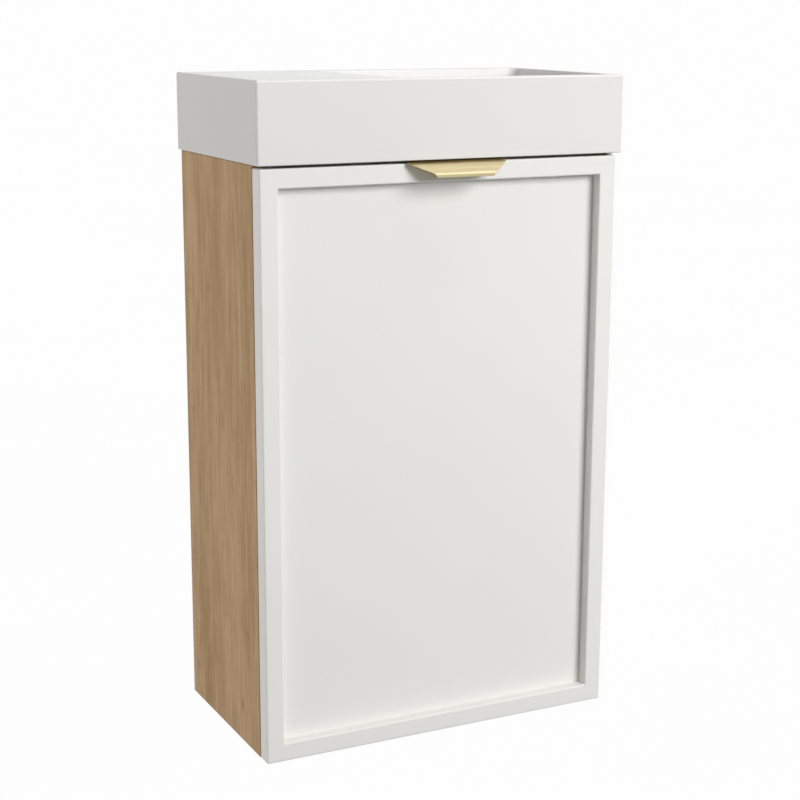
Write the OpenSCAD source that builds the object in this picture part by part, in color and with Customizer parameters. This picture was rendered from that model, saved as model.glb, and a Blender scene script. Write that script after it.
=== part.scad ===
// Wall-hung cloakroom vanity unit: a ceramic basin on an oak carcass with one slim-framed door.
// X runs across the unit, Y runs into the wall, Z is up. The wall plane is Y = 0, so the front is
// at negative Y. The origin is midway between the two wall screw holes, on the wall plane.

/* [Basin] */
// How far the basin stands out past each side of the carcass
side_overhang = 4; // [3:0.5:6]
// How far the basin stands out past the front of the door
front_overhang = 4.5; // [0:0.5:6]
// Height of the basin
basin_h = 78.5; // [74:0.5:110]
// Radius of the basin's upright outer corners
basin_corner_r = 2.5; // [2:0.5:10]
// Thickness of the basin's outer skirt
skirt_t = 12; // [10:0.5:14]
// Thickness of the flat tap deck
deck_t = 14; // [10:1:24]
// Thickness of the ceramic around the bowl
bowl_shell = 9; // [7:0.5:10]
// Depth of the bowl below the rim
bowl_depth = 58; // [45:1:60]
// Width of the bowl at the rim
bowl_w = 240; // [200:1:255]
// How far the bowl walls lean in from rim to floor
bowl_lean = 15; // [8:1:25]
// Radius of the bowl's upright corners at the rim
bowl_corner_r = 10; // [8:1:26]
// Radius of the bowl's upright corners at the floor
bowl_floor_corner_r = 18; // [15:1:26]
// Width of the rim to the right of the bowl
right_rim = 10; // [8:0.5:14]
// Width of the rim in front of the bowl
front_rim = 9; // [8:0.5:14]
// Width of the rim behind the bowl
rear_rim = 19; // [14:0.5:26]
// Radius of the tap hole
tap_hole_r = 17.5; // [14:0.5:19]
// Thickness of the skin over the tap hole, which is knocked out when a tap is fitted
tap_skin = 3; // [2:0.5:4]
// Distance of the tap hole from the basin's left side
tap_inset = 86; // [60:1:105]
// Distance of the tap hole from the wall
tap_from_wall = 104; // [60:1:130]
// Radius of the waste hole
waste_hole_r = 22.5; // [20:0.5:24]
// Width of the seat ring around the waste hole
waste_seat_w = 9; // [6:0.5:12]
// Depth of the seat ring for the waste flange
waste_seat_depth = 3; // [1:0.5:4]

/* [Carcass] */
// Width of the carcass over its side panels
cab_w = 392; // [370:1:400]
// Depth of the carcass from the wall to its front edges
cab_d = 196; // [190:1:212]
// Height of the carcass
cab_h = 595; // [520:1:700]
// Thickness of the carcass boards
board_t = 16; // [15:0.5:19]
// Thickness of the back panel
back_t = 3; // [2.5:0.5:4]
// Depth of the groove that holds the back panel
groove_depth = 6; // [4:0.5:8]
// Width of the front rail from front to back
front_rail_w = 70; // [60:1:90]
// Height of the rear hanging rail
hang_rail_h = 90; // [80:1:120]
// Drop of the wall screw holes below the carcass top
fix_drop = 45; // [38:1:55]
// Distance of each wall screw hole from the end of the hanging rail
fix_inset = 45; // [40:1:90]
// Radius of the wall screw holes
fix_hole_r = 3.5; // [3:0.5:5]
// Width of the service cut-out in the back panel
cutout_w = 220; // [120:1:300]
// Height of the service cut-out in the back panel
cutout_h = 150; // [80:1:180]
// Drop of the service cut-out below the carcass top
cutout_drop = 105; // [100:1:140]
// Drop of the shelf's top face below the carcass top
shelf_drop = 335; // [300:1:380]
// Depth of the shelf from front to back
shelf_d = 158; // [120:1:165]
// Radius of a shelf pin
shelf_pin_r = 2.5; // [2:0.25:3]
// Distance between the rows of shelf pin holes
pin_row_pitch = 32; // [25:1:40]

/* [Sealant] */
// Thickness of the sealant bead between basin and carcass
bead_t = 1; // [1:0.5:4]
// Width of the sealant bead
bead_w = 4; // [3:0.5:5]

/* [Door] */
// Thickness of the door frame
door_t = 18; // [16:0.5:22]
// Width of the door's frame members
frame_w = 19; // [18:0.5:40]
// Thickness of the door's centre panel
door_panel_t = 6; // [4:0.5:7]
// Width of the rebate that holds the centre panel
rebate_w = 8; // [6:0.5:9]
// Drop of the door's top edge below the carcass top
door_drop = 2; // [2:0.5:5]
// Gap between the carcass and the back of the door
door_gap = 1.5; // [1.5:0.25:3]
// Radius of a dowel in the door frame
frame_dowel_r = 3; // [2:0.5:3]
// Length of a dowel in the door frame
frame_dowel_l = 18; // [14:1:18]

/* [Handle] */
// Width of the pull where it meets the door
handle_w = 107.5; // [80:0.5:160]
// Width of the pull at its front lip
handle_nose_w = 60; // [40:1:78]
// Offset of the pull to the right of the door's centre
handle_x = 10; // [-20:0.5:20]
// Depth of the pull's straight ends, before the slanted cuts start
handle_shoulder = 3; // [1:0.5:6]
// Thickness of the pull's sheet
sheet_t = 2; // [1.5:0.25:2.5]
// Depth of the flange that lies on the door's top edge
flange_d = 15; // [13:0.5:16]
// Downward slope of the pull
slope = 28; // [16:0.5:32]
// Length of the sloping part of the pull
slope_l = 20.5; // [16:0.5:28]
// Inner radius of the bend over the door's front edge
bend_r = 3; // [2:0.5:4]
// Inner radius of the bend into the front lip
nose_r = 1; // [0.5:0.25:2]
// Slope of the pull's front lip
lip_slope = 99; // [70:1:105]
// Length of the straight end of the lip
lip_l = 1.5; // [1:0.5:3]
// Distance between the two handle screws
handle_pitch = 70; // [50:1:75]

/* [Pivot hinge] */
// Radius of the pivot pins
pin_r = 2; // [1.5:0.25:2]
// Distance of the pivot axis from the door's outer edge
pin_inset = 4.2; // [4:0.1:4.5]
// Distance of the pivot axis from the back of the door
pin_depth = 10.5; // [10:0.1:11]
// Thickness of the pivot plates
plate_t = 1.5; // [1:0.25:2]
// Length of the pivot plate's foot across the carcass
plate_l = 42; // [38:1:50]
// Width of the pivot plate's foot
plate_w = 14; // [12:0.5:16]
// Setback of the pivot plate's foot from the carcass front
plate_setback = 6; // [4:0.5:8]
// Width of the pivot plate's arm
arm_w = 6.4; // [6:0.1:6.4]
// Radius of the pivot plate's round end
arm_end_r = 3.6; // [3.4:0.1:3.7]
// Outer radius of the door bushes
bush_r = 3; // [2.75:0.25:3.25]
// Length of the door bushes
bush_l = 13; // [10:0.5:18]

/* [Fasteners and catch] */
// Radius of a carcass dowel
dowel_r = 4; // [3:0.5:4]
// Length of a carcass dowel
dowel_l = 30; // [24:1:34]
// Depth of a carcass dowel in the side panel
dowel_in_side = 11; // [9:0.5:12]
// Radius of a cam lock
cam_r = 7.5; // [6.5:0.5:8]
// Height of a cam lock
cam_h = 12; // [10:0.5:12]
// Distance of a cam's centre from the side panel
cam_reach = 24; // [22:1:30]
// Shank radius of a wood screw
screw_r = 1.75; // [1.5:0.25:2]
// Head radius of a wood screw
screw_head_r = 3.2; // [2.75:0.1:3.4]
// Shank radius of a strike plate screw
small_screw_r = 1.4; // [1:0.1:1.5]
// Head radius of a strike plate screw
small_head_r = 2.4; // [2:0.1:2.6]
// Width of the magnetic catch
catch_w = 40; // [36:1:50]
// Depth of the magnetic catch
catch_d = 13; // [11:0.5:16]
// Height of the magnetic catch
catch_h = 11; // [10:0.5:14]
// Thickness of the catch's strike plate
strike_t = 1.2; // [0.8:0.1:1.2]
// Radius of a door bumper
bumper_r = 4; // [3:0.5:5]

/* [Hidden] */

// The bead keeps this far outside the inner edge of the basin's skirt, and this far behind the plate
skirt_edge = 0.5;
bead_plate_gap = 2;

// Wall of the boss around the waste hole's seat ring
boss_wall = 2;

// Clearances: a sliding fit between wooden parts, a running fit on the pins, and a cutter overrun
fit_gap = 0.1;
pin_gap = 0.05;
over = 1;

$fn = 64;

// Heights, measured from the wall screw holes
carcass_top = fix_drop;
carcass_bottom = carcass_top - cab_h;
floor_top = carcass_bottom + board_t;
basin_bottom = carcass_top + bead_t;
basin_top = basin_bottom + basin_h;
bowl_floor = basin_top - bowl_depth;
door_top = carcass_top - door_drop;
door_bottom = carcass_bottom;
shelf_top = carcass_top - shelf_drop;
shelf_pin_z = shelf_top - board_t - shelf_pin_r;

// Widths and depths
basin_w = cab_w + 2 * side_overhang;
basin_d = cab_d + door_gap + door_t + front_overhang;
half_out = cab_w / 2;
half_in = half_out - board_t;
carcass_front = -cab_d;
door_back = carcass_front - door_gap;
door_front = door_back - door_t;
opening_half = half_out - frame_w;

// Bowl place in plan
bowl_d = basin_d - front_rim - rear_rim;
bowl_x = basin_w / 2 - right_rim - bowl_w / 2;
bowl_y = -rear_rim - bowl_d / 2;
tap_x = tap_inset - basin_w / 2;

// Back panel
back_face = -board_t;
back_panel_lap = 10;
back_panel_top = carcass_top - hang_rail_h + back_panel_lap;
back_tongue = groove_depth - 2 * fit_gap;

// Joint sites of the carcass: [y, z] on each side panel's inner face
floor_mid = carcass_bottom + board_t / 2;
rail_mid = carcass_top - board_t / 2;
hang_mid = -board_t / 2;
edge_inset = 18;
rear_cam_inset = 35;
floor_cam_inset = 49;
rail_cam_inset = 31;
dowel_pitch = 32;
rear_cam_y = -rear_cam_inset;
floor_cam_y = carcass_front + floor_cam_inset;
dowel_sites = [
    [rear_cam_y - dowel_pitch, floor_mid],
    [floor_cam_y + dowel_pitch, floor_mid],
    [carcass_front + front_rail_w - edge_inset, rail_mid],
    [hang_mid, carcass_top - edge_inset],
    [hang_mid, carcass_top - hang_rail_h + edge_inset]
];
flat_cam_sites = [
    [rear_cam_y, floor_mid],
    [floor_cam_y, floor_mid],
    [carcass_front + rail_cam_inset, rail_mid]
];
upright_cam_sites = [[hang_mid, carcass_top - hang_rail_h / 2]];
cam_sites = concat(flat_cam_sites, upright_cam_sites);

// Cam bolt: screwed end, shank, thin neck and head
bolt_thread_r = 2.5;
bolt_thread_l = 11;
bolt_shank_r = 3;
bolt_neck_r = 2;
bolt_head_r = 3.5;
bolt_head_l = 3;
bolt_bore_r = 4;

// Cam lock: how far its channel runs past its middle, the room around the bolt's head, and the
// socket for the driver
cam_channel_back = 1.4;
cam_channel_gap = 0.4;
cam_socket_r = 1.5;
cam_socket_depth = 1.5;
cam_bolt_gap = 1;

// Shelf and shelf pin holes: two columns, and rows counted from the shelf's own row
shelf_gap = 0.5;
shelf_back = back_face - back_t - shelf_gap;
pin_edge = 22;
pin_columns = [shelf_back - pin_edge, shelf_back - shelf_d + pin_edge];
pin_rows = [-1, 0, 1];
pin_in_side = 9;
pin_out = 8;

// Pivot axis, and the room around the pins, the plates' round ends and the washers
pin_x = half_out - pin_inset;
pin_y = door_back - pin_depth;
pin_end_gap = 1;
pin_l = bush_l - pin_end_gap;
washer_edge = 0.2;
washer_r = arm_end_r - washer_edge;
notch_gap = 0.5;
notch_r = arm_end_r + notch_gap;
lower_washer_room = 1;
notch_h = plate_t + lower_washer_room;

// Countersunk screws
head_h = 1.5;
plate_screw_l = 13;
plate_screw_edge = 8;
plate_screw_pitch = 12;
plate_end_x = pin_x + arm_w / 2 - plate_l;
plate_screw_x = [plate_end_x + plate_screw_edge, plate_end_x + plate_screw_edge + plate_screw_pitch];
plate_screw_y = carcass_front + plate_setback + plate_w / 2;
handle_screw_l = 14;
handle_screw_inset = 8.5;
handle_screw_y = door_back - handle_screw_inset;

// Catch, below the front rail near its left end
catch_side_gap = 12;
catch_x = -half_in + catch_side_gap + catch_w / 2;
catch_top = carcass_top - board_t;
catch_face = carcass_front + fit_gap;
catch_screw_edge = 4.5;
catch_screw_pitch = catch_w - 2 * catch_screw_edge;
catch_screw_grip = 9;
catch_screw_l = catch_h + catch_screw_grip;
catch_rear_wall = 4;
magnet_w = 18;
magnet_h = 7;
magnet_d = catch_d - catch_rear_wall;
pole_t = 1.5;

// Strike plate, opposite the catch, a little smaller than it each way
strike_margin = 2;
strike_trim = 0.5;
strike_w = catch_w - 2 * strike_margin;
strike_h = catch_h - 2 * strike_trim;
strike_z = catch_top - catch_h / 2;
strike_screw_edge = 4;
strike_screw_pitch = strike_w - 2 * strike_screw_edge;
strike_screw_rise = 1;
strike_screw_l = 9;

// Bumpers, on the front edge of the left side panel
bumper_gap = 0.2;
bumper_t = door_gap - bumper_gap;
bumper_end_gap = 26;

ceramic = [0.93, 0.93, 0.92];
oak = [0.66, 0.52, 0.38];
paint = [0.91, 0.91, 0.9];
melamine = [0.88, 0.88, 0.87];
brass = [0.83, 0.71, 0.42];
steel = [0.72, 0.72, 0.73];
beech = [0.8, 0.66, 0.47];

// A box between two opposite corners
module block(low, high) {
    translate(low)
        cube(high - low);
}

// A rectangle with true round corners, centred on the origin
module round_rect(w, d, r) {
    square([w - 2 * r, d], center = true);
    square([w, d - 2 * r], center = true);
    for (sx = [-1, 1], sy = [-1, 1])
        translate([sx * (w / 2 - r), sy * (d / 2 - r)])
            circle(r = r, $fn = 32);
}

// The shape of the bowl, grown by a skin: wide at the rim and narrower at the floor
module bowl_form(skin, rise) {
    hull() {
        translate([bowl_x, bowl_y, basin_top + rise - 0.5])
            linear_extrude(0.5)
                round_rect(bowl_w + 2 * skin, bowl_d + 2 * skin, bowl_corner_r + skin);
        translate([bowl_x, bowl_y, bowl_floor - skin])
            linear_extrude(0.5)
                round_rect(bowl_w - 2 * bowl_lean + 2 * skin, bowl_d - 2 * bowl_lean + 2 * skin,
                           bowl_floor_corner_r + skin);
    }
}

module basin() {
    hollow_h = basin_h - deck_t;
    seat_r = waste_hole_r + waste_seat_w;
    color(ceramic)
        difference() {
            union() {
                difference() {
                    translate([0, -basin_d / 2, basin_bottom])
                        linear_extrude(basin_h)
                            round_rect(basin_w, basin_d, basin_corner_r);
                    translate([0, -basin_d / 2, basin_bottom - over])
                        linear_extrude(hollow_h + over)
                            square([basin_w - 2 * skirt_t, basin_d - 2 * skirt_t], center = true);
                }
                intersection() {
                    bowl_form(bowl_shell, 0);
                    translate([0, -basin_d / 2, basin_bottom])
                        linear_extrude(basin_h)
                            square([basin_w - skirt_t, basin_d - skirt_t], center = true);
                }
                translate([bowl_x, bowl_y, basin_bottom])
                    cylinder(r = seat_r + boss_wall, h = bowl_floor - basin_bottom);
            }
            bowl_form(0, over);
            translate([bowl_x, bowl_y, basin_bottom - over])
                cylinder(r = waste_hole_r, h = basin_h);
            translate([bowl_x, bowl_y, bowl_floor - waste_seat_depth])
                cylinder(r = seat_r, h = bowl_depth);
            translate([tap_x, -tap_from_wall, basin_bottom])
                cylinder(r = tap_hole_r, h = basin_h - tap_skin);
        }
}

// Sealant on the side panels and on the hanging rail, open at the front
module sealant_bead() {
    bead_in = basin_w / 2 - skirt_t + skirt_edge;
    bead_rear = -skirt_t + skirt_edge;
    bead_front = carcass_front + plate_setback + plate_w + bead_plate_gap;
    color([0.9, 0.9, 0.88])
        union() {
            for (side = [-1, 1])
                block([side * (bead_in + bead_w / 2) - bead_w / 2, bead_front, carcass_top],
                      [side * (bead_in + bead_w / 2) + bead_w / 2, bead_rear + bead_w, basin_bottom]);
            block([-bead_in, bead_rear, carcass_top],
                  [bead_in, bead_rear + bead_w, basin_bottom]);
        }
}

// Plan of a pivot plate, grown by a clearance
module plate_plan(grow) {
    foot_right = pin_x + arm_w / 2;
    foot_front = carcass_front + plate_setback;
    translate([foot_right - plate_l - grow, foot_front - grow])
        square([plate_l + 2 * grow, plate_w + 2 * grow]);
    translate([pin_x - arm_w / 2 - grow, pin_y])
        square([arm_w + 2 * grow, foot_front + plate_w - pin_y]);
    translate([pin_x, pin_y])
        circle(r = arm_end_r + grow);
}

// Housings for both pivot plates, in the edges of the boards that carry them
module plate_housings() {
    translate([0, 0, carcass_top - plate_t])
        linear_extrude(plate_t + over)
            plate_plan(fit_gap);
    translate([0, 0, carcass_bottom - over])
        linear_extrude(plate_t + over)
            plate_plan(fit_gap);
}

// Blind holes for the plate screws, above the lower plate and below the upper one
module plate_screw_holes() {
    for (x = plate_screw_x)
        translate([x, plate_screw_y, 0]) {
            translate([0, 0, carcass_top - plate_screw_l - fit_gap])
                cylinder(r = screw_r + fit_gap, h = plate_screw_l + over);
            translate([0, 0, carcass_bottom - over])
                cylinder(r = screw_r + fit_gap, h = plate_screw_l + over + fit_gap);
        }
}

// One hole along X into the right side panel's inner face, and on into a board's end
module joint_bore(site, r, into_side, into_board) {
    translate([half_in - into_board, site[0], site[1]])
        rotate([0, 90, 0])
            cylinder(r = r, h = into_side + into_board, $fn = 32);
}

// Every joint bore of the right-hand end, in the side panel and in the boards
module side_bores() {
    for (site = dowel_sites)
        joint_bore(site, dowel_r + fit_gap, dowel_in_side + fit_gap, over);
    for (site = cam_sites)
        joint_bore(site, bolt_thread_r + fit_gap, bolt_thread_l + fit_gap, over);
    for (y = pin_columns, row = pin_rows)
        joint_bore([y, shelf_pin_z + row * pin_row_pitch], shelf_pin_r + fit_gap, pin_in_side, over);
}

module board_end_bores() {
    for (side = [0, 1])
        mirror([side, 0, 0]) {
            for (site = dowel_sites)
                joint_bore(site, dowel_r + fit_gap, over, dowel_l - dowel_in_side + fit_gap);
            for (site = cam_sites)
                joint_bore(site, bolt_bore_r, over, cam_reach);
            for (site = flat_cam_sites)
                translate([half_in - cam_reach, site[0], site[1] - board_t / 2 - over])
                    cylinder(r = cam_r + fit_gap, h = cam_h + over + fit_gap);
            for (site = upright_cam_sites)
                translate([half_in - cam_reach, back_face - over, site[1]])
                    rotate([-90, 0, 0])
                        cylinder(r = cam_r + fit_gap, h = cam_h + over + fit_gap);
        }
}

// The groove that holds the back panel, in the sides and the floor
module back_groove() {
    block([-half_in - groove_depth, back_face - back_t - fit_gap, floor_top - groove_depth],
          [half_in + groove_depth, back_face + fit_gap, back_panel_top + fit_gap]);
}

module side_board() {
    difference() {
        block([half_in, carcass_front, carcass_bottom], [half_out, 0, carcass_top]);
        back_groove();
        side_bores();
    }
}

module left_side_panel() {
    color(oak)
        mirror([1, 0, 0])
            side_board();
}

module right_side_panel() {
    color(oak)
        difference() {
            side_board();
            plate_housings();
        }
}

module bottom_panel() {
    color(melamine)
        difference() {
            block([-half_in, carcass_front, carcass_bottom], [half_in, 0, floor_top]);
            back_groove();
            board_end_bores();
            plate_housings();
            plate_screw_holes();
        }
}

module front_rail() {
    color(melamine)
        difference() {
            block([-half_in, carcass_front, carcass_top - board_t],
                  [half_in, carcass_front + front_rail_w, carcass_top]);
            board_end_bores();
            plate_housings();
            plate_screw_holes();
            catch_screw_set(fit_gap);
        }
}

module hanging_rail() {
    color(melamine)
        difference() {
            block([-half_in, back_face, carcass_top - hang_rail_h], [half_in, 0, carcass_top]);
            board_end_bores();
            for (side = [-1, 1])
                translate([side * (half_in - fix_inset), back_face - over, 0])
                    rotate([-90, 0, 0])
                        cylinder(r = fix_hole_r, h = board_t + 2 * over);
        }
}

module back_panel() {
    color(melamine)
        difference() {
            block([-half_in - back_tongue, back_face - back_t, floor_top - back_tongue],
                  [half_in + back_tongue, back_face, back_panel_top]);
            block([-cutout_w / 2, back_face - back_t - over, carcass_top - cutout_drop - cutout_h],
                  [cutout_w / 2, back_face + over, carcass_top - cutout_drop]);
        }
}

module shelf() {
    color(melamine)
        block([-half_in + shelf_gap, shelf_back - shelf_d, shelf_top - board_t],
              [half_in - shelf_gap, shelf_back, shelf_top]);
}

module shelf_pins() {
    color(steel)
        for (side = [0, 1], y = pin_columns)
            mirror([side, 0, 0])
                joint_bore([y, shelf_pin_z], shelf_pin_r, pin_in_side - fit_gap, pin_out);
}

module assembly_dowels() {
    color(beech)
        for (side = [0, 1], site = dowel_sites)
            mirror([side, 0, 0])
                joint_bore(site, dowel_r, dowel_in_side, dowel_l - dowel_in_side);
}

module cam_bolt(site) {
    joint_bore(site, bolt_thread_r, bolt_thread_l, 0);
    translate([half_in - cam_reach, site[0], site[1]])
        rotate([0, 90, 0]) {
            cylinder(r = bolt_neck_r, h = cam_reach, $fn = 32);
            cylinder(r = bolt_head_r, h = bolt_head_l, $fn = 32);
            translate([0, 0, cam_r + cam_bolt_gap])
                cylinder(r = bolt_shank_r, h = cam_reach - cam_r - cam_bolt_gap, $fn = 32);
        }
}

module cam_bolts() {
    color(steel)
        for (side = [0, 1], site = cam_sites)
            mirror([side, 0, 0])
                cam_bolt(site);
}

// A cam lock with the channel that its bolt's head turns in, standing on the origin
module cam_lock() {
    head_room = bolt_head_r + cam_channel_gap;
    difference() {
        cylinder(r = cam_r, h = cam_h);
        translate([-cam_channel_back, -head_room, board_t / 2 - head_room])
            cube([cam_channel_back + cam_r + over, 2 * head_room, 2 * head_room]);
        translate([0, 0, -over])
            cylinder(r = cam_socket_r, h = cam_socket_depth + over);
    }
}

module cam_locks() {
    color(steel)
        for (side = [0, 1])
            mirror([side, 0, 0]) {
                for (site = flat_cam_sites)
                    translate([half_in - cam_reach, site[0], site[1] - board_t / 2])
                        cam_lock();
                for (site = upright_cam_sites)
                    translate([half_in - cam_reach, back_face, site[1]])
                        rotate([-90, 0, 0])
                            cam_lock();
            }
}

// Space for the centre panel, at the back of the door frame, grown by a clearance
module panel_space(grow) {
    reach_x = opening_half + rebate_w - fit_gap + grow;
    reach_z = frame_w - rebate_w + fit_gap - grow;
    block([-reach_x, door_back - door_panel_t, door_bottom + reach_z],
          [reach_x, door_back + grow, door_top - reach_z]);
}

// Dowels at the four corners of the door frame, grown by a clearance
module frame_dowel_set(grow) {
    dowel_y = (door_front + door_back - door_panel_t) / 2;
    for (side = [0, 1], z = [door_bottom + frame_w / 2, door_top - frame_w / 2])
        mirror([side, 0, 0])
            translate([opening_half - frame_dowel_l / 2 - grow, dowel_y, z])
                rotate([0, 90, 0])
                    cylinder(r = frame_dowel_r + grow, h = frame_dowel_l + 2 * grow, $fn = 32);
}

module stile_board() {
    difference() {
        block([opening_half, door_front, door_bottom], [half_out, door_back, door_top]);
        panel_space(fit_gap);
        frame_dowel_set(fit_gap);
    }
}

module door_left_stile() {
    color(paint)
        mirror([1, 0, 0])
            stile_board();
}

// The hinge stile: bored for both bushes and notched over the lower pivot plate
module door_right_stile() {
    color(paint)
        difference() {
            stile_board();
            block([pin_x - notch_r, pin_y - notch_r, door_bottom - over],
                  [half_out + over, door_back + over, door_bottom + notch_h]);
            translate([pin_x, pin_y, door_bottom])
                cylinder(r = bush_r + pin_gap, h = notch_h + bush_l + fit_gap);
            translate([pin_x, pin_y, door_top - bush_l - fit_gap])
                cylinder(r = bush_r + pin_gap, h = bush_l + over);
        }
}

module rail_board(z) {
    difference() {
        block([-opening_half, door_front, z], [opening_half, door_back, z + frame_w]);
        panel_space(fit_gap);
        frame_dowel_set(fit_gap);
    }
}

module door_top_rail() {
    color(paint)
        difference() {
            rail_board(door_top - frame_w);
            handle_screw_set(fit_gap);
            strike_screw_set(fit_gap);
        }
}

module door_bottom_rail() {
    color(paint)
        rail_board(door_bottom);
}

module door_panel() {
    color(paint)
        difference() {
            panel_space(0);
            strike_screw_set(fit_gap);
        }
}

module door_dowels() {
    color(beech)
        frame_dowel_set(0);
}

// Points of an arc in the YZ plane, given as [y, z], from one slope angle to another
function bend(centre, r, from, to) = [
    for (step = [0:6])
        let (a = from + (to - from) * step / 6)
            [centre[0] - r * sin(a), centre[1] + r * cos(a)]
];

// The two bend centres of the pull: over the door's front edge, and inside the front lip
first_bend = [door_front, door_top - bend_r];
second_bend = [
    first_bend[0] - slope_l * cos(slope) - (bend_r - nose_r) * sin(slope),
    first_bend[1] - slope_l * sin(slope) + (bend_r - nose_r) * cos(slope)
];
handle_top = concat(
    bend(first_bend, bend_r + sheet_t, 0, slope),
    bend(second_bend, nose_r + sheet_t, slope, lip_slope)
);
handle_under = concat(
    bend(second_bend, nose_r, lip_slope, slope),
    bend(first_bend, bend_r, slope, 0)
);
lip_step = [-lip_l * cos(lip_slope), -lip_l * sin(lip_slope)];
handle_section = concat(
    [[door_front + flange_d, door_top + sheet_t]],
    handle_top,
    [handle_top[len(handle_top) - 1] + lip_step, handle_under[0] + lip_step],
    handle_under,
    [[door_front + flange_d, door_top]]
);
handle_room = 2 * slope_l;
handle_reach = slope_l + nose_r + sheet_t + lip_l;

// Outline of the pull in the plane of its sloping face
module handle_plan() {
    polygon([
        [-handle_w / 2, handle_room],
        [-handle_w / 2, -handle_shoulder],
        [-handle_nose_w / 2, -handle_reach],
        [handle_nose_w / 2, -handle_reach],
        [handle_w / 2, -handle_shoulder],
        [handle_w / 2, handle_room]
    ]);
}

// A folded sheet: a flange on the door's top edge, a sloping pull and a turned-down lip
module handle() {
    color(brass)
        difference() {
            intersection() {
                translate([handle_x - handle_w / 2, 0, 0])
                    rotate([90, 0, 90])
                        linear_extrude(handle_w)
                            polygon(handle_section);
                translate([handle_x, first_bend[0], first_bend[1]])
                    rotate([slope, 0, 0])
                        translate([0, 0, -handle_room / 2])
                            linear_extrude(handle_room)
                                handle_plan();
            }
            handle_screw_set(fit_gap);
        }
}

// A countersunk screw that points down, with its head's face at the origin. A hole for it is the
// same shape grown by a clearance, and runs on past the face.
module screw(length, grow, r = screw_r, head_r = screw_head_r, cone_h = head_h) {
    translate([0, 0, -length - grow])
        cylinder(r = r + grow, h = length + grow, $fn = 32);
    translate([0, 0, -cone_h])
        cylinder(r1 = r + grow, r2 = head_r + grow, h = cone_h, $fn = 32);
    if (grow > 0)
        cylinder(r = head_r + grow, h = over, $fn = 32);
}

module handle_screw_set(grow) {
    for (side = [-1, 1])
        translate([handle_x + side * handle_pitch / 2, handle_screw_y, door_top + sheet_t])
            screw(handle_screw_l, grow);
}

module handle_screws() {
    color(brass)
        handle_screw_set(0);
}

module pivot_plate(bottom) {
    difference() {
        translate([0, 0, bottom])
            linear_extrude(plate_t)
                plate_plan(0);
        translate([pin_x, pin_y, bottom - over])
            cylinder(r = pin_r + pin_gap, h = plate_t + 2 * over);
        plate_screw_set(fit_gap);
    }
}

module upper_pivot_plate() {
    color(steel)
        pivot_plate(carcass_top - plate_t);
}

module lower_pivot_plate() {
    color(steel)
        pivot_plate(carcass_bottom);
}

module upper_plate_screw_set(grow) {
    for (x = plate_screw_x)
        translate([x, plate_screw_y, carcass_top])
            screw(plate_screw_l, grow);
}

module lower_plate_screw_set(grow) {
    for (x = plate_screw_x)
        translate([x, plate_screw_y, carcass_bottom])
            mirror([0, 0, 1])
                screw(plate_screw_l, grow);
}

module plate_screw_set(grow) {
    upper_plate_screw_set(grow);
    lower_plate_screw_set(grow);
}

module upper_plate_screws() {
    color(steel)
        upper_plate_screw_set(0);
}

module lower_plate_screws() {
    color(steel)
        lower_plate_screw_set(0);
}

module upper_pivot_pin() {
    color(steel)
        translate([pin_x, pin_y, door_top - pin_l])
            cylinder(r = pin_r, h = carcass_top - door_top + pin_l);
}

module lower_pivot_pin() {
    color(steel)
        translate([pin_x, pin_y, carcass_bottom])
            cylinder(r = pin_r, h = notch_h + pin_l);
}

module door_bush(z) {
    translate([pin_x, pin_y, z])
        difference() {
            cylinder(r = bush_r, h = bush_l);
            translate([0, 0, -over])
                cylinder(r = pin_r + pin_gap, h = bush_l + 2 * over);
        }
}

module upper_door_bush() {
    color([0.85, 0.85, 0.83])
        door_bush(door_top - bush_l);
}

module lower_door_bush() {
    color([0.85, 0.85, 0.83])
        door_bush(door_bottom + notch_h);
}

// Nylon washers that keep the plates and the door apart
module pivot_washers() {
    upper_gap = door_drop - plate_t;
    lower_gap = notch_h - plate_t;
    color([0.85, 0.85, 0.83]) {
        translate([pin_x, pin_y, door_top + pin_gap])
            washer(upper_gap - pin_gap);
        translate([pin_x, pin_y, carcass_bottom + plate_t])
            washer(lower_gap - pin_gap);
    }
}

module washer(thickness) {
    difference() {
        cylinder(r = washer_r, h = thickness);
        translate([0, 0, -over])
            cylinder(r = pin_r + fit_gap, h = thickness + 2 * over);
    }
}

// The magnet and the two pole plates beside it, level with the catch's front face, and their seats
module magnet_block(grow) {
    block([catch_x - magnet_w / 2 - grow, catch_face - grow, strike_z - magnet_h / 2 - grow],
          [catch_x + magnet_w / 2 + grow, catch_face + magnet_d + grow, strike_z + magnet_h / 2 + grow]);
}

module pole_blocks(grow) {
    for (side = [-1, 1])
        translate([catch_x + side * (magnet_w + pole_t) / 2, 0, 0])
            block([-pole_t / 2 - grow, catch_face - grow, strike_z - magnet_h / 2 - grow],
                  [pole_t / 2 + grow, catch_face + magnet_d + grow, strike_z + magnet_h / 2 + grow]);
}

module catch_body() {
    color([0.9, 0.9, 0.9])
        difference() {
            block([catch_x - catch_w / 2, catch_face, catch_top - catch_h],
                  [catch_x + catch_w / 2, catch_face + catch_d, catch_top]);
            magnet_block(fit_gap);
            pole_blocks(fit_gap);
            catch_screw_set(fit_gap);
        }
}

module catch_magnet() {
    color([0.25, 0.25, 0.26])
        magnet_block(0);
}

module catch_poles() {
    color(steel)
        pole_blocks(0);
}

module catch_screw_set(grow) {
    for (side = [-1, 1])
        translate([catch_x + side * catch_screw_pitch / 2, catch_face + catch_d / 2, catch_top - catch_h])
            mirror([0, 0, 1])
                screw(catch_screw_l, grow);
}

module catch_screws() {
    color(steel)
        catch_screw_set(0);
}

module strike_plate() {
    color(steel)
        difference() {
            block([catch_x - strike_w / 2, door_back, strike_z - strike_h / 2],
                  [catch_x + strike_w / 2, door_back + strike_t, strike_z + strike_h / 2]);
            strike_screw_set(fit_gap);
        }
}

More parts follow.
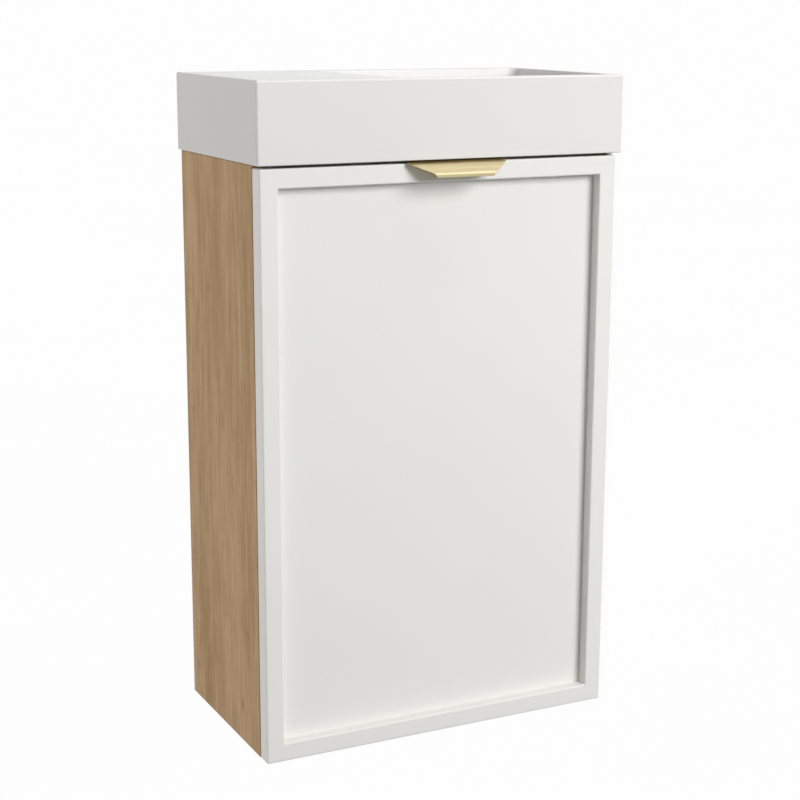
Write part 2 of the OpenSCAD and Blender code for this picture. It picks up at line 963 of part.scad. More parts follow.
module strike_screw_set(grow) {
    for (side = [-1, 1])
        translate([catch_x + side * strike_screw_pitch / 2, door_back + strike_t,
                   strike_z + strike_screw_rise])
            rotate([-90, 0, 0])
                screw(strike_screw_l, grow, small_screw_r, small_head_r, strike_t);
}

module strike_screws() {
    color(steel)
        strike_screw_set(0);
}

module door_bumpers() {
    color([0.85, 0.87, 0.88])
        for (z = [carcass_bottom + bumper_end_gap, carcass_top - bumper_end_gap])
            translate([-half_out + board_t / 2, carcass_front, z])
                rotate([90, 0, 0])
                    cylinder(r = bumper_r, h = bumper_t);
}

basin();
sealant_bead();
left_side_panel();
right_side_panel();
bottom_panel();
front_rail();
hanging_rail();
back_panel();
shelf();
shelf_pins();
assembly_dowels();
cam_bolts();
cam_locks();
door_left_stile();
door_right_stile();
door_top_rail();
door_bottom_rail();
door_panel();
door_dowels();
handle();
handle_screws();
upper_pivot_plate();
lower_pivot_plate();
upper_pivot_pin();
lower_pivot_pin();
upper_door_bush();
lower_door_bush();
pivot_washers();
upper_plate_screws();
lower_plate_screws();
catch_body();
catch_magnet();
catch_poles();
catch_screws();
strike_plate();
strike_screws();
door_bumpers();
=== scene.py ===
"""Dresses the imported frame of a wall-hung cloakroom vanity unit and sets up its studio."""

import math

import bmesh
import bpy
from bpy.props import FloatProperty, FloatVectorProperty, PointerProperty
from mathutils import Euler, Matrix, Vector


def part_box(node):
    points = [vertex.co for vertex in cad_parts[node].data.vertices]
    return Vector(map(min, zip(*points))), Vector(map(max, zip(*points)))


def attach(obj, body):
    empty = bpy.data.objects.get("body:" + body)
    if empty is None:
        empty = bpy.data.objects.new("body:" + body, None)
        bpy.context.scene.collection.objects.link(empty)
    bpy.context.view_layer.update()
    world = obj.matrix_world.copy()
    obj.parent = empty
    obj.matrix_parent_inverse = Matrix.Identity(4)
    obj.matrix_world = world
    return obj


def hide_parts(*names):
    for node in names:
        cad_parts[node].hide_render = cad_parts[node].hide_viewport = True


bl_info = {
    "name": "Cloakroom Vanity Unit",
    "version": (1, 0, 0),
    "blender": (4, 5, 0),
    "location": "View3D > Sidebar > Vanity",
    "description": "Builds the finished basin, boards, door, pull and fittings around the frame",
    "category": "Object",
}

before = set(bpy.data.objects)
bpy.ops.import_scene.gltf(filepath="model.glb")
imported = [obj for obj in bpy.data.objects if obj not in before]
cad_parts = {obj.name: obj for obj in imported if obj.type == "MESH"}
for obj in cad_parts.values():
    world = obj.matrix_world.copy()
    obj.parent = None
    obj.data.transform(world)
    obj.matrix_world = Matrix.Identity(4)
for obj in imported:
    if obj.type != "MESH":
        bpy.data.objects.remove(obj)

MM = 0.001
AXES = {"x": Vector((1, 0, 0)), "y": Vector((0, 1, 0)), "z": Vector((0, 0, 1))}

# Two points closer than this are one, and faces that differ by less than this angle are one face
SAME_POINT = 1e-6
SAME_PLANE = math.radians(0.3)

# How near a point lies to a plane that it is on, and the least angle of an edge that is rounded
ON_PLANE = 0.02 * MM
CREASE = math.radians(20)

# Sides of the round cutters
ROD_SIDES = 32

# Radii that the panel leaves out
BASIN_FOOT_ROUND = 1.2 * MM
SEALANT_ROUND = 0.3 * MM
DOOR_BACK_ROUND = 0.7 * MM
CATCH_ROUND = 0.8 * MM
BUMPER_ROUND = 0.6 * MM


class VanityShapes(bpy.types.PropertyGroup):
    """Radii that soften the pieces."""

    glaze_round: FloatProperty(
        name="Basin edge", description="Radius of the basin's top outer edge",
        default=2.2 * MM, min=0.5 * MM, max=2.4 * MM, unit="LENGTH")
    rim_round: FloatProperty(
        name="Bowl rim", description="Radius of the edge where the bowl starts",
        default=2.4 * MM, min=0.5 * MM, max=4 * MM, unit="LENGTH")
    bowl_fillet: FloatProperty(
        name="Bowl fillet", description="Radius between the bowl's walls and its floor",
        default=13 * MM, min=4 * MM, max=15 * MM, unit="LENGTH")
    door_round: FloatProperty(
        name="Door edge", description="Radius of the door frame's front edges",
        default=1.7 * MM, min=0.3 * MM, max=3 * MM, unit="LENGTH")
    board_round: FloatProperty(
        name="Board edge", description="Radius of the edge banding on the boards",
        default=0.6 * MM, min=0.1 * MM, max=1.5 * MM, unit="LENGTH")
    sheet_round: FloatProperty(
        name="Pull edge", description="Radius of the pull's cut edges",
        default=0.35 * MM, min=0.1 * MM, max=0.8 * MM, unit="LENGTH")
    metal_round: FloatProperty(
        name="Fitting edge", description="Radius of the edges of plates and catch parts",
        default=0.25 * MM, min=0.05 * MM, max=0.5 * MM, unit="LENGTH")


class VanityColours(bpy.types.PropertyGroup):
    """Colours of the finishes."""

    glaze: FloatVectorProperty(
        name="Glaze", description="Glaze of the basin", subtype="COLOR",
        default=(0.765, 0.755, 0.735))
    paint: FloatVectorProperty(
        name="Paint", description="Paint of the door", subtype="COLOR",
        default=(0.815, 0.81, 0.78))
    laminate: FloatVectorProperty(
        name="Laminate", description="Laminate inside the carcass", subtype="COLOR",
        default=(0.74, 0.735, 0.71))
    oak_light: FloatVectorProperty(
        name="Light oak", description="Early wood of the oak sides", subtype="COLOR",
        default=(0.556, 0.374, 0.200))
    oak_dark: FloatVectorProperty(
        name="Dark oak", description="Late wood of the oak sides", subtype="COLOR",
        default=(0.389, 0.245, 0.118))
    oak_pore: FloatVectorProperty(
        name="Oak pores", description="Pores and knots of the oak sides", subtype="COLOR",
        default=(0.20, 0.115, 0.06))
    brass: FloatVectorProperty(
        name="Brass", description="Brushed brass of the pull", subtype="COLOR",
        default=(0.76, 0.642, 0.385))


class VanityStudio(bpy.types.PropertyGroup):
    """Camera and light of the studio."""

    camera_place: FloatVectorProperty(
        name="Camera place", description="Where the camera stands", subtype="TRANSLATION",
        unit="LENGTH", default=(-0.7885, -1.7021, 0.1900))
    camera_yaw: FloatProperty(
        name="Camera yaw", description="How far the camera turns to the right", subtype="ANGLE",
        default=math.radians(26.427))
    camera_pitch: FloatProperty(
        name="Camera pitch", description="How far the camera looks down", subtype="ANGLE",
        default=math.radians(12.884))
    camera_roll: FloatProperty(
        name="Camera roll", description="How far the camera leans", subtype="ANGLE",
        default=math.radians(0.222))
    focal_length: FloatProperty(
        name="Focal length", description="Focal length on a 36 mm sensor", unit="CAMERA",
        default=77.32)
    fill: FloatProperty(
        name="Fill", description="Brightness of the light from all around", default=0.24, min=0)
    mirrored_left: FloatProperty(
        name="Mirrored left", description="Brightness of the room's left side in reflections",
        default=0.16, min=0)
    mirrored_right: FloatProperty(
        name="Mirrored right", description="Brightness of the room's right side in reflections",
        default=0.92, min=0)
    mirrored_window: FloatProperty(
        name="Mirrored window", description="Brightness that a high window adds in reflections",
        default=1.0, min=0)
    mirrored_wall: FloatProperty(
        name="Mirrored wall", description="Brightness that the wall behind adds in reflections",
        default=0.13, min=0)
    white: FloatProperty(
        name="White", description="Brightness of the floor and backdrop", default=0.985, min=0)
    key: FloatProperty(
        name="Key", description="Power of the large light at the front right", subtype="POWER",
        default=105, min=0)
    side: FloatProperty(
        name="Side", description="Power of the light at the left, behind the unit", subtype="POWER",
        default=35.5, min=0)
    left: FloatProperty(
        name="Left", description="Power of the light at the left, beside the unit", subtype="POWER",
        default=12.5, min=0)
    overhead: FloatProperty(
        name="Overhead", description="Power of the light above the unit", subtype="POWER",
        default=9, min=0)
    floor_drop: FloatProperty(
        name="Floor drop", description="Height of the unit's hanging rail above the floor",
        default=2.4, min=1, unit="LENGTH")


# Mesh helpers

def meshed(name, bm):
    """A mesh from a bmesh, which is used up."""
    mesh = bpy.data.meshes.new(name)
    bm.to_mesh(mesh)
    bm.free()
    return mesh


def linked(name, data):
    """A new object in the scene."""
    obj = bpy.data.objects.new(name, data)
    bpy.context.scene.collection.objects.link(obj)
    return obj


def block(low, high):
    """A box between two corners."""
    bm = bmesh.new()
    low, high = Vector(low), Vector(high)
    bmesh.ops.create_cube(bm, size=1, matrix=Matrix.LocRotScale((low + high) / 2, None, high - low))
    bm.normal_update()
    return bm


def rod(start, axis, length, radius):
    """A cylinder that runs from a point along an axis."""
    bm = bmesh.new()
    turn = AXES["z"].rotation_difference(AXES[axis]).to_matrix().to_4x4()
    centre = Vector(start) + AXES[axis] * length / 2
    bmesh.ops.create_cone(bm, cap_ends=True, segments=ROD_SIDES, radius1=radius, radius2=radius,
                          depth=length, matrix=Matrix.Translation(centre) @ turn)
    return bm


def gathered(parts):
    """One mesh from several, which are used up."""
    whole = bmesh.new()
    for part in parts:
        mesh = meshed("part", part)
        whole.from_mesh(mesh)
        bpy.data.meshes.remove(mesh)
    return whole


def cad_copy(*nodes):
    """A merged copy of CAD nodes, with each flat face in one piece."""
    bm = bmesh.new()
    for node in nodes:
        bm.from_mesh(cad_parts[node].data)
    bmesh.ops.remove_doubles(bm, verts=bm.verts, dist=SAME_POINT)
    bmesh.ops.dissolve_limit(bm, angle_limit=SAME_PLANE, verts=bm.verts, edges=bm.edges)
    return bm


def islands(node):
    """The lowest and highest corner of each separate solid in a CAD node."""
    bm = bmesh.new()
    bm.from_mesh(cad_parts[node].data)
    bmesh.ops.remove_doubles(bm, verts=bm.verts, dist=SAME_POINT)
    left = set(bm.verts)
    found = []
    while left:
        grown = {left.pop()}
        to_visit = list(grown)
        while to_visit:
            vert = to_visit.pop()
            for edge in vert.link_edges:
                other = edge.other_vert(vert)
                if other not in grown:
                    grown.add(other)
                    to_visit.append(other)
        left -= grown
        low = Vector([min(v.co[i] for v in grown) for i in range(3)])
        high = Vector([max(v.co[i] for v in grown) for i in range(3)])
        found.append((low, high))
    bm.free()
    return sorted(found, key=lambda box: tuple(box[0]))


def without(bm, cutter):
    """The first mesh less the second. Both are used up."""
    kept = linked("kept", meshed("kept", bm))
    tool = linked("cutter", meshed("cutter", cutter))
    cut = kept.modifiers.new("cut", "BOOLEAN")
    cut.operation = "DIFFERENCE"
    cut.solver = "EXACT"
    cut.object = tool
    bpy.context.view_layer.update()
    shown = kept.evaluated_get(bpy.context.evaluated_depsgraph_get())
    result = bmesh.new()
    result.from_mesh(shown.to_mesh())
    shown.to_mesh_clear()
    for thing in (kept, tool):
        mesh = thing.data
        bpy.data.objects.remove(thing)
        bpy.data.meshes.remove(mesh)
    return result


def near(value, target):
    """Whether two lengths are the same, apart from rounding."""
    return abs(value - target) < ON_PLANE


def corner_edges(bm, wanted, angle=CREASE):
    """The edges where faces meet at an angle and that the test wants."""
    return [
        e for e in bm.edges
        if len(e.link_faces) == 2 and e.calc_face_angle() > angle and wanted(e)]


def rounded(bm, edges, radius, segments):
    """Rounds those edges."""
    bmesh.ops.bevel(bm, geom=edges, offset=radius, offset_type="OFFSET", segments=segments,
                    profile=0.5, affect="EDGES", clamp_overlap=True, material=-1)
    return bm


def at_level(level, axis=2):
    """A test for edges that lie at one place along an axis."""
    return lambda edge: all(near(v.co[axis], level) for v in edge.verts)


def end_edges(bm, low, high):
    """The edges at the bottom and at the top of a box."""
    return corner_edges(bm, lambda e: at_level(low.z)(e) or at_level(high.z)(e))


def hull_edges(bm, low, high, radius, segments):
    """Rounds the edges of a mesh that lie in two faces of its box at once."""
    def on_box(edge):
        return sum(at_level(low[i], i)(edge) or at_level(high[i], i)(edge) for i in range(3)) >= 2

    return rounded(bm, corner_edges(bm, on_box), radius, segments)


def piece(name, bm, finish, body, *nodes, smooth=35):
    """Makes a finished piece of a mesh, gives it its material and sets it in place of CAD nodes."""
    mesh = meshed(name, bm)
    mesh.shade_smooth()
    mesh.set_sharp_from_angle(angle=math.radians(smooth))
    mesh.materials.append(material(finish))
    obj = linked(name, mesh)
    even_normals = obj.modifiers.new("even_normals", "WEIGHTED_NORMAL")
    even_normals.keep_sharp = True
    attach(obj, body)
    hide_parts(*nodes)


def dress(finish, *nodes):
    """Gives CAD nodes whose shape is right a better material."""
    for node in nodes:
        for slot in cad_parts[node].material_slots:
            slot.material = material(finish)


# Node helpers

def feed(tree, socket, value):
    """Links another node's output to a socket, or sets the socket to a constant."""
    if isinstance(value, bpy.types.NodeSocket):
        tree.links.new(value, socket)
    else:
        socket.default_value = value


def put(tree, kind, sockets=None, **settings):
    """Adds a node. A socket takes a number, a colour or another node's output."""
    node = tree.nodes.new(kind)
    for name, value in settings.items():
        setattr(node, name, value)
    for key, value in (sockets or {}).items():
        feed(tree, node.inputs[key], value)
    return node


def maths(tree, operation, *values):
    """The result of an operation on numbers."""
    return put(tree, "ShaderNodeMath", dict(enumerate(values)), operation=operation).outputs[0]


def vectors(tree, operation, sockets, output="Vector"):
    """The result of an operation on vectors or colours."""
    return put(tree, "ShaderNodeVectorMath", sockets, operation=operation).outputs[output]


def scaled(tree, vector, factors):
    """A vector with a factor for each axis."""
    return vectors(tree, "MULTIPLY", {0: vector, 1: factors})


def mixed(tree, share, first, second):
    """Mixes two colours by a share. A mixing node has its colours in its sockets 6, 7 and 2."""
    return put(tree, "ShaderNodeMix", {0: share, 6: first, 7: second}, data_type="RGBA").outputs[2]


def remapped(tree, value, low, high, to_low=0.0, to_high=1.0, curve="LINEAR"):
    """Stretches a value from one range to another, and clamps it."""
    names = ("Value", "From Min", "From Max", "To Min", "To Max")
    sockets = dict(zip(names, (value, low, high, to_low, to_high)))
    return put(tree, "ShaderNodeMapRange", sockets, interpolation_type=curve).outputs["Result"]


def noise(tree, vector, scale=1.0, detail=2.0, rough=0.5, output="Fac"):
    """A noise, as a value or as a colour."""
    sockets = {"Vector": vector, "Scale": scale, "Detail": detail, "Roughness": rough}
    return put(tree, "ShaderNodeTexNoise", sockets).outputs[output]


def new_group(name, inputs, outputs):
    """A shader group with its sockets. Each input is its name, kind and default."""
    tree = bpy.data.node_groups.new(name, "ShaderNodeTree")
    for label, kind, default in inputs:
        socket = tree.interface.new_socket(
            name=label, in_out="INPUT", socket_type="NodeSocket" + kind)
        socket.default_value = default
    for label, kind in outputs:
        tree.interface.new_socket(name=label, in_out="OUTPUT", socket_type="NodeSocket" + kind)
    return tree, tree.nodes.new("NodeGroupInput").outputs, tree.nodes.new("NodeGroupOutput").inputs


def finished(tree, out, **results):
    """Links a group's results to its sockets."""
    for label, value in results.items():
        tree.links.new(value, out[label])
    return tree


def use_group(tree, name, sockets):
    """Places a group, which is built the first time that it is used."""
    inner = bpy.data.node_groups.get(name) or GROUPS[name](name)
    return put(tree, "ShaderNodeGroup", sockets, node_tree=inner).outputs


# Effects that more than one material uses

VECTOR_INPUT = ("Vector", "Vector", (0, 0, 0))
COLOUR_INPUT = ("Colour", "Color", (1, 1, 1, 1))

# Scales of brushed metal along and across its lines, for single lines and for bands of them, and
# the share of each
BRUSH_LINES = (18, 2600, 2600)
BRUSH_BANDS = (6, 260, 260)
LINE_SHARE = 0.4
BAND_SHARE = 0.6

# The values of a texture between which a mask grows
CLOUD_RANGE = (0.3, 0.7)
BRUSH_RANGE = (0.32, 0.68)
PORE_RANGE = (0.6, 0.7)
BLUSH_RANGE = (0.35, 0.65)

# A knot is longer up the board than across it, and pushes the grain aside. Its dark heart and the
# grain around it fade between these distances, in widths of the knot.
KNOT_STRETCH = (0.3, 1.0, 0.42)
KNOT_PUSH = (0.0, -0.75, 0.0)
KNOT_HEART = (0.25, 1.0)
KNOT_HALO = (0.4, 5.0)

# Scales of wood across and along its grain
GRAIN_WANDER = (5, 5, 2.2)
GRAIN_BAND = (38, 38, 4.5)
GRAIN_LINE = (190, 190, 10)
GRAIN_FIBRE = (900, 900, 40)
GRAIN_PORE = (620, 620, 42)
GRAIN_PATCH = (60, 60, 24)

# How far the grain strays to each side, and the sum of its textures at the lightest and the darkest
GRAIN_STRAY = (0.03, 0.03, 0.0)
GRAIN_RANGE = (1.65, 2.35)


def shaded(tree, colour, mask, amount):
    """A colour that a mask makes lighter and darker by an amount."""
    half = maths(tree, "SUBTRACT", mask, 0.5)
    level = maths(tree, "MULTIPLY_ADD", half, amount, 1.0)
    return vectors(tree, "SCALE", {0: colour, "Scale": level})


def soft_variation(name):
    """Slow, slight changes of a colour over a surface."""
    tree, given, out = new_group(
        name,
        [VECTOR_INPUT, COLOUR_INPUT, ("Patch Scale", "Float", 10.0), ("Amount", "Float", 0.03)],
        [("Colour", "Color"), ("Mask", "Float")])
    cloud = noise(tree, given["Vector"], given["Patch Scale"], detail=3.0)
    mask = remapped(tree, cloud, *CLOUD_RANGE)
    colour = shaded(tree, given["Colour"], mask, given["Amount"])
    return finished(tree, out, Colour=colour, Mask=mask)


def fine_skin(name):
    """The fine relief of a sprayed, glazed or moulded surface."""
    tree, given, out = new_group(
        name,
        [VECTOR_INPUT, ("Fine Scale", "Float", 600.0), ("Broad Scale", "Float", 60.0),
         ("Broad Share", "Float", 0.5)],
        [("Height", "Float")])
    fine = noise(tree, given["Vector"], given["Fine Scale"], detail=1.0)
    broad = noise(tree, given["Vector"], given["Broad Scale"], detail=1.0)
    part = maths(tree, "MULTIPLY", broad, given["Broad Share"])
    return finished(tree, out, Height=maths(tree, "ADD", fine, part))


def brushing(name):
    """Fine lines along X of the given vector."""
    tree, given, out = new_group(
        name,
        [VECTOR_INPUT, COLOUR_INPUT, ("Amount", "Float", 0.1)],
        [("Colour", "Color"), ("Mask", "Float"), ("Height", "Float")])
    hair = noise(tree, scaled(tree, given["Vector"], BRUSH_LINES), detail=3.0, rough=0.6)
    band = noise(tree, scaled(tree, given["Vector"], BRUSH_BANDS), detail=2.0)
    lines = maths(tree, "MULTIPLY", hair, LINE_SHARE)
    mask = remapped(tree, maths(tree, "MULTIPLY_ADD", band, BAND_SHARE, lines), *BRUSH_RANGE)
    colour = shaded(tree, given["Colour"], mask, given["Amount"])
    return finished(tree, out, Colour=colour, Mask=mask, Height=hair)


def knot(name):
    """One knot in a board: a mask for its dark heart, and the grain pushed aside around it."""
    tree, given, out = new_group(
        name,
        [VECTOR_INPUT, ("Centre", "Vector", (0, 0, 0)), ("Width", "Float", 4 * MM)],
        [("Vector", "Vector"), ("Mask", "Float")])
    away = vectors(tree, "SUBTRACT", {0: given["Vector"], 1: given["Centre"]})
    reach = vectors(tree, "LENGTH", {0: scaled(tree, away, KNOT_STRETCH)}, "Value")
    share = maths(tree, "DIVIDE", reach, given["Width"])
    heart = remapped(tree, share, *KNOT_HEART, 1.0, 0.0, "SMOOTHSTEP")
    halo = remapped(tree, share, *KNOT_HALO, 1.0, 0.0, "SMOOTHSTEP")
    moved = vectors(tree, "SCALE", {0: scaled(tree, away, KNOT_PUSH), "Scale": halo})
    parted = vectors(tree, "ADD", {0: given["Vector"], 1: moved})
    return finished(tree, out, Vector=parted, Mask=heart)


def wood_grain(name):
    """Straight grain along Z: broad bands, growth lines, fibres, pores and soft patches."""
    tree, given, out = new_group(
        name,
        [VECTOR_INPUT, ("Light", "Color", (1, 1, 1, 1)), ("Dark", "Color", (0, 0, 0, 1)),
         ("Pore", "Color", (0, 0, 0, 1)), ("Figure", "Float", 0.0), ("Pores", "Float", 0.4)],
        [("Colour", "Color"), ("Mask", "Float"), ("Height", "Float")])
    slow = noise(tree, scaled(tree, given["Vector"], GRAIN_WANDER), output="Color")
    centred = vectors(tree, "SUBTRACT", {0: slow, 1: (0.5, 0.5, 0.5)})
    wander = scaled(tree, centred, GRAIN_STRAY)
    grain = vectors(tree, "ADD", {0: given["Vector"], 1: wander})
    band = noise(tree, scaled(tree, grain, GRAIN_BAND))
    line = noise(tree, scaled(tree, grain, GRAIN_LINE), detail=3.0, rough=0.65)
    fibre = noise(tree, scaled(tree, grain, GRAIN_FIBRE), rough=0.6)
    pore = noise(tree, scaled(tree, grain, GRAIN_PORE), detail=1.0)
    patch = noise(tree, scaled(tree, grain, GRAIN_PATCH))
    tone = maths(tree, "MULTIPLY", line, 1.5)
    for texture, weight in ((band, 1.3), (fibre, 0.6), (patch, 0.6)):
        tone = maths(tree, "MULTIPLY_ADD", texture, weight, tone)
    tone = maths(tree, "ADD", tone, given["Figure"])
    share = remapped(tree, tone, *GRAIN_RANGE)
    colour = mixed(tree, share, given["Light"], given["Dark"])
    dash = remapped(tree, pore, *PORE_RANGE)
    dash = maths(tree, "MULTIPLY", dash, given["Pores"])
    colour = mixed(tree, dash, colour, given["Pore"])
    relief = maths(tree, "MULTIPLY_ADD", dash, -0.7, maths(tree, "MULTIPLY", fibre, 0.5))
    return finished(tree, out, Colour=colour, Mask=share, Height=relief)


GROUPS = {make.__name__: make for make in (soft_variation, fine_skin, brushing, knot, wood_grain)}


# Finishes. The frame's own plain materials have the slots' names, so these end otherwise.

FINISH_ENDING = "_finish"

# Depths of relief
SKIN_DEPTH = 0.1 * MM
BRUSH_DEPTH = 0.02 * MM
BEECH_DEPTH = 0.1 * MM
OAK_DEPTH = 0.12 * MM

# Colours that the panel leaves out, and how strong the oak's reddish cast and its knots are
# The sealant is white; its grey here is painted shade, standing in for the shadow in the gap under
# the basin
SEALANT_SHADE_GREY = (0.50, 0.50, 0.485)
NYLON_WHITE = (0.72, 0.71, 0.67)
FERRITE = (0.045, 0.045, 0.048)
ZINC_GREY = (0.50, 0.51, 0.53)
BUMPER_CLEAR = (0.86, 0.89, 0.90)
STEEL_GREY = (0.62, 0.63, 0.65)
BEECH_LIGHT = (0.66, 0.47, 0.29)
BEECH_DARK = (0.54, 0.35, 0.20)
BEECH_PORE = (0.30, 0.17, 0.09)
OAK_BLUSH = (0.58, 0.36, 0.25)
BLUSH_STRENGTH = 0.22
KNOT_STRENGTH = 0.55


def shader(name, **constants):
    """A new material: its tree, its shader and the place on the object."""
    mat = bpy.data.materials.new(name + FINISH_ENDING)
    mat.use_nodes = True
    tree = mat.node_tree
    surface = tree.nodes["Principled BSDF"]
    for label, value in constants.items():
        surface.inputs[label.replace("_", " ").title().replace("Ior", "IOR")].default_value = value
    place = tree.nodes.new("ShaderNodeTexCoord").outputs["Object"]
    return mat, tree, surface.inputs, place


def rgba(colour):
    """A colour that nothing behind it shows through."""
    return (*colour, 1.0)


def covered(tree, surface, colour, mask, rough, height, strength, depth):
    """Gives a surface its colour, a gloss that follows a mask, and a relief."""
    tree.links.new(colour, surface["Base Color"])
    tree.links.new(remapped(tree, mask, 0, 1, *rough), surface["Roughness"])
    bump = put(tree, "ShaderNodeBump", {"Height": height, "Strength": strength, "Distance": depth})
    tree.links.new(bump.outputs[0], surface["Normal"])


def plain_skin(name, colour, amount, rough, fine, broad, strength, patch=9.0, **constants):
    """A finish of one colour with slow variation, uneven gloss and a fine relief."""
    mat, tree, surface, place = shader(name, **constants)
    tone = use_group(tree, "soft_variation", {
        "Vector": place, "Colour": rgba(colour), "Patch Scale": patch, "Amount": amount})
    skin = use_group(tree, "fine_skin", {
        "Vector": place, "Fine Scale": fine, "Broad Scale": broad, "Broad Share": 1.5})
    covered(tree, surface, tone["Colour"], tone["Mask"], rough, skin["Height"],
            strength=strength, depth=SKIN_DEPTH)
    return mat


def ceramic():
    return plain_skin(
        "ceramic", bpy.context.scene.vanity_colours.glaze, amount=0.02, rough=(0.16, 0.24),
        fine=900.0, broad=25.0, strength=0.12, coat_weight=0.6, coat_roughness=0.06,
        specular_ior_level=0.5)


# The sealant's finish is darkened to grey: painted shade for the gap between the basin and the
# boards
def sealant():
    return plain_skin(
        "sealant", SEALANT_SHADE_GREY, amount=0.04, rough=(0.42, 0.55), fine=500.0, broad=60.0,
        strength=0.3, specular_ior_level=0.4)


def paint():
    return plain_skin(
        "paint", bpy.context.scene.vanity_colours.paint, amount=0.016, rough=(0.40, 0.50),
        fine=420.0, broad=55.0, strength=0.16, specular_ior_level=0.4)


def melamine():
    return plain_skin(
        "melamine", bpy.context.scene.vanity_colours.laminate, amount=0.02, rough=(0.42, 0.52),
        fine=1300.0, broad=220.0, strength=0.35, specular_ior_level=0.4)


def nylon():
    return plain_skin(
        "nylon", NYLON_WHITE, amount=0.05, rough=(0.35, 0.5), fine=1500.0, broad=200.0,
        strength=0.2, patch=60.0, subsurface_weight=0.15, subsurface_scale=2 * MM)


def magnet():
    return plain_skin(
        "magnet", FERRITE, amount=0.5, rough=(0.45, 0.7), fine=2500.0, broad=500.0,
        strength=0.5, patch=400.0)


def zinc():
    return plain_skin(
        "zinc", ZINC_GREY, amount=0.2, rough=(0.32, 0.5), fine=1800.0, broad=300.0,
        strength=0.4, patch=220.0, metallic=1.0)


def bumper():
    return plain_skin(
        "bumper", BUMPER_CLEAR, amount=0.04, rough=(0.08, 0.2), fine=900.0, broad=120.0,
        strength=0.15, patch=150.0, transmission_weight=0.85, ior=1.47)


def brushed(name, colour, amount, rough, strength):
    """A metal with brushed lines along X."""
    mat, tree, surface, place = shader(name, metallic=1.0)
    hair = use_group(tree, "brushing", {"Vector": place, "Colour": rgba(colour), "Amount": amount})
    covered(tree, surface, hair["Colour"], hair["Mask"], rough, hair["Height"],
            strength=strength, depth=BRUSH_DEPTH)
    return mat


def brass():
    return brushed(
        "brass", bpy.context.scene.vanity_colours.brass, amount=0.36, rough=(0.24, 0.34),
        strength=0.18)


def steel():
    return brushed("steel", STEEL_GREY, amount=0.16, rough=(0.24, 0.38), strength=0.25)


def beech():
    """Bare beech of the dowels, with its grain along X."""
    mat, tree, surface, place = shader("beech")
    along = put(tree, "ShaderNodeMapping", {
        "Vector": place, "Rotation": (0, math.radians(90), 0)}).outputs[0]
    wood = use_group(tree, "wood_grain", {
        "Vector": along, "Light": rgba(BEECH_LIGHT), "Dark": rgba(BEECH_DARK),
        "Pore": rgba(BEECH_PORE), "Pores": 0.5})
    covered(tree, surface, wood["Colour"], wood["Mask"], (0.5, 0.62), wood["Height"],
            strength=0.4, depth=BEECH_DEPTH)
    return mat


# Knots in the oak: the side that each is on, where -1 is the left, its distance from the wall, its
# height and its width
KNOTS = [
    (-1, 119 * MM, -272 * MM, 2.0 * MM), (-1, 77 * MM, -453 * MM, 2.2 * MM),
    (-1, 167 * MM, -429 * MM, 3.0 * MM), (-1, 150 * MM, -510 * MM, 4.0 * MM),
    (-1, 17 * MM, -513 * MM, 3.0 * MM), (-1, 72 * MM, -89 * MM, 2.4 * MM),
    (1, 60 * MM, -150 * MM, 3.0 * MM), (1, 135 * MM, -395 * MM, 2.4 * MM),
]

# Distances of the two columns of figure from the wall, and the height of one tooth in them
FRONT_FIGURE = 143 * MM
REAR_FIGURE = 14 * MM
TOOTH = 7.4 * MM

# How far a column strays, by how many teeth its arches move up or down, how sharply they bend, and
# between which distances from its middle a column fades
FIGURE_STRAY = 30 * MM
FIGURE_SHIFT = 9.0
FIGURE_BEND = 12000.0
FIGURE_FADE = (3 * MM, 11 * MM)

# Between which values of the slow noise the figure grows, and how strong it gets
FIGURE_GROWS = (0.42, 0.6)
FIGURE_STRENGTH = 0.13

# Scales of the slow noise in the oak's figure, and of the reddish cast in its colour
SWAY_SCALE = (8, 8, 14)
BLUSH_SCALE = (22, 22, 1.6)


def toothed_figure(tree, split, sway, depth):
    """A column of small arches, one above another, that fades at its sides and wanders a little."""
    across = maths(tree, "ADD", split["Y"], depth)
    bent = maths(tree, "MULTIPLY_ADD", maths(tree, "SUBTRACT", sway, 0.5), FIGURE_STRAY, across)
    turns = maths(tree, "DIVIDE", split["Z"], TOOTH)
    turns = maths(tree, "MULTIPLY_ADD", sway, FIGURE_SHIFT, turns)
    arch = maths(tree, "MULTIPLY_ADD", maths(tree, "MULTIPLY", bent, bent), FIGURE_BEND, turns)
    wave = maths(tree, "SINE", maths(tree, "MULTIPLY", arch, math.tau))
    column = remapped(
        tree, maths(tree, "ABSOLUTE", bent), *FIGURE_FADE, 1.0, 0.0, "SMOOTHSTEP")
    share = remapped(tree, sway, *FIGURE_GROWS, 0.0, FIGURE_STRENGTH, "SMOOTHSTEP")
    return maths(tree, "MULTIPLY", maths(tree, "MULTIPLY", wave, column), share)


